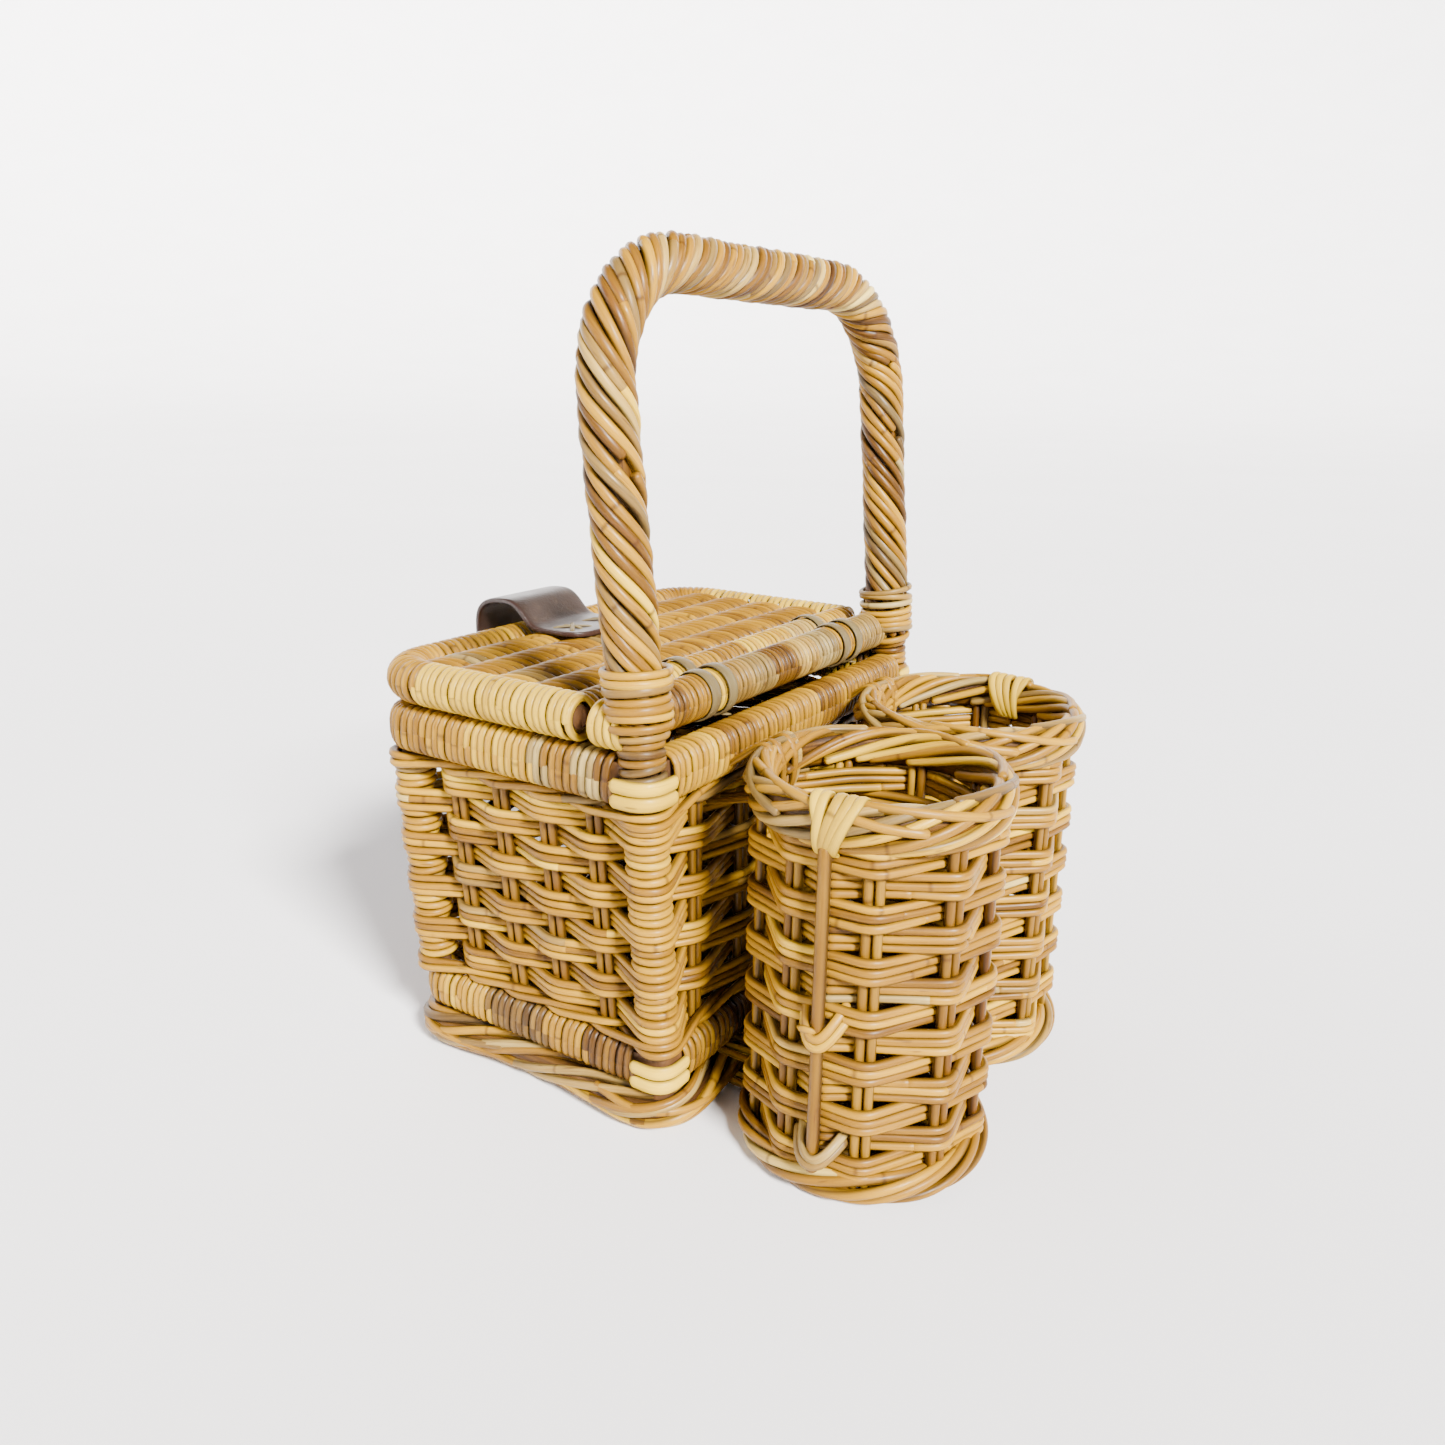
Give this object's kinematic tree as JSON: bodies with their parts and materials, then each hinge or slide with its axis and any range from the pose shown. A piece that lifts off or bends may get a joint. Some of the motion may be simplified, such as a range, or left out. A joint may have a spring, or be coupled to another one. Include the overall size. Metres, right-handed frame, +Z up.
{
  "type": "wicker picnic basket",
  "caption": "Rectangular woven rattan basket with a hinged lid, a tall wrapped handle, round bottle holders on the back and a leather strap.",
  "frame": {"origin": "on the ground, under the middle of the whole object's box", "axes": "+X along the basket, -Y the strap side, +Y the handle and bottle holder side, +Z up"},
  "size_m": [0.2954, 0.347, 0.4365],
  "materials": {
    "woven_rattan": "satin varnished rattan, woven",
    "wrapping_cane": "satin varnished cane, wrapped",
    "pale_cane": "satin pale cane",
    "brown_rod": "satin brown rod",
    "handle_rattan": "glossy varnished rattan",
    "grey_cane": "dull grey-brown flat cane",
    "leather": "matte dark brown leather"
  },
  "bodies": {
    "basket": {"floor_weave": "woven_rattan", "foot_border": "wrapping_cane", "base_rail_core": "brown_rod", "base_rail_front": "wrapping_cane", "base_rail_back": "wrapping_cane", "base_rail_left": "wrapping_cane", "base_rail_right": "wrapping_cane", "lower_waling": "woven_rattan", "upper_waling": "woven_rattan", "wall_front": "woven_rattan", "wall_back": "woven_rattan", "wall_left": "woven_rattan", "wall_right": "woven_rattan", "wall_stakes": "brown_rod", "corner_posts": "brown_rod", "corner_wrap_front_left": "wrapping_cane", "corner_wrap_front_right": "wrapping_cane", "corner_wrap_back_left": "wrapping_cane", "corner_wrap_back_right": "wrapping_cane", "rim_core": "brown_rod", "rim_front": "wrapping_cane", "rim_back": "wrapping_cane", "rim_left": "wrapping_cane", "rim_right": "wrapping_cane", "rim_corner_bands": "pale_cane", "handle_core": "brown_rod", "handle_leg_rods": "handle_rattan", "handle_bend_rods": "handle_rattan", "handle_bar_rods": "handle_rattan", "leg_bindings": "wrapping_cane", "hinge_rail_core": "brown_rod", "hinge_rail_wrap": "wrapping_cane", "rail_stubs": "pale_cane", "hinge_loops": "grey_cane", "toggle_lashing": "pale_cane", "holder_left_wall": "woven_rattan", "holder_left_stakes": "brown_rod", "holder_left_rim": "wrapping_cane", "holder_left_foot": "wrapping_cane", "holder_left_floor": "woven_rattan", "holder_left_seam": "brown_rod", "holder_left_ties": "pale_cane", "holder_right_wall": "woven_rattan", "holder_right_stakes": "brown_rod", "holder_right_rim": "wrapping_cane", "holder_right_foot": "wrapping_cane", "holder_right_floor": "woven_rattan", "holder_right_seam": "brown_rod", "holder_right_ties": "pale_cane"},
    "lid": {"lid_core": "brown_rod", "lid_wrap_front": "wrapping_cane", "lid_wrap_back": "wrapping_cane", "lid_wrap_left": "pale_cane", "lid_wrap_right": "pale_cane", "lid_weave": "woven_rattan", "lid_stakes": "brown_rod", "strap_anchor": "leather", "strap_stitch": "grey_cane"},
    "strap_tail": {"strap_tail": "leather"},
    "toggle": {"toggle": "brown_rod"}
  },
  "joints": [
    {"name": "lid_hinge", "type": "hinge", "parent": "basket", "child": "lid", "pos_m": [0, -0.0156, 0.2183], "axis": [-1, 0, 0], "range_deg": [0, 86]},
    {"name": "strap_swing", "type": "hinge", "parent": "lid", "child": "strap_tail", "pos_m": [0.016, -0.172, 0.236], "axis": [-1, 0, 0], "range_deg": [-10, 75]},
    {"name": "toggle_turn", "type": "hinge", "parent": "basket", "child": "toggle", "pos_m": [0.016, -0.1424, 0.15], "axis": [0, -1, 0], "range_deg": [0, 90]}
  ]
}
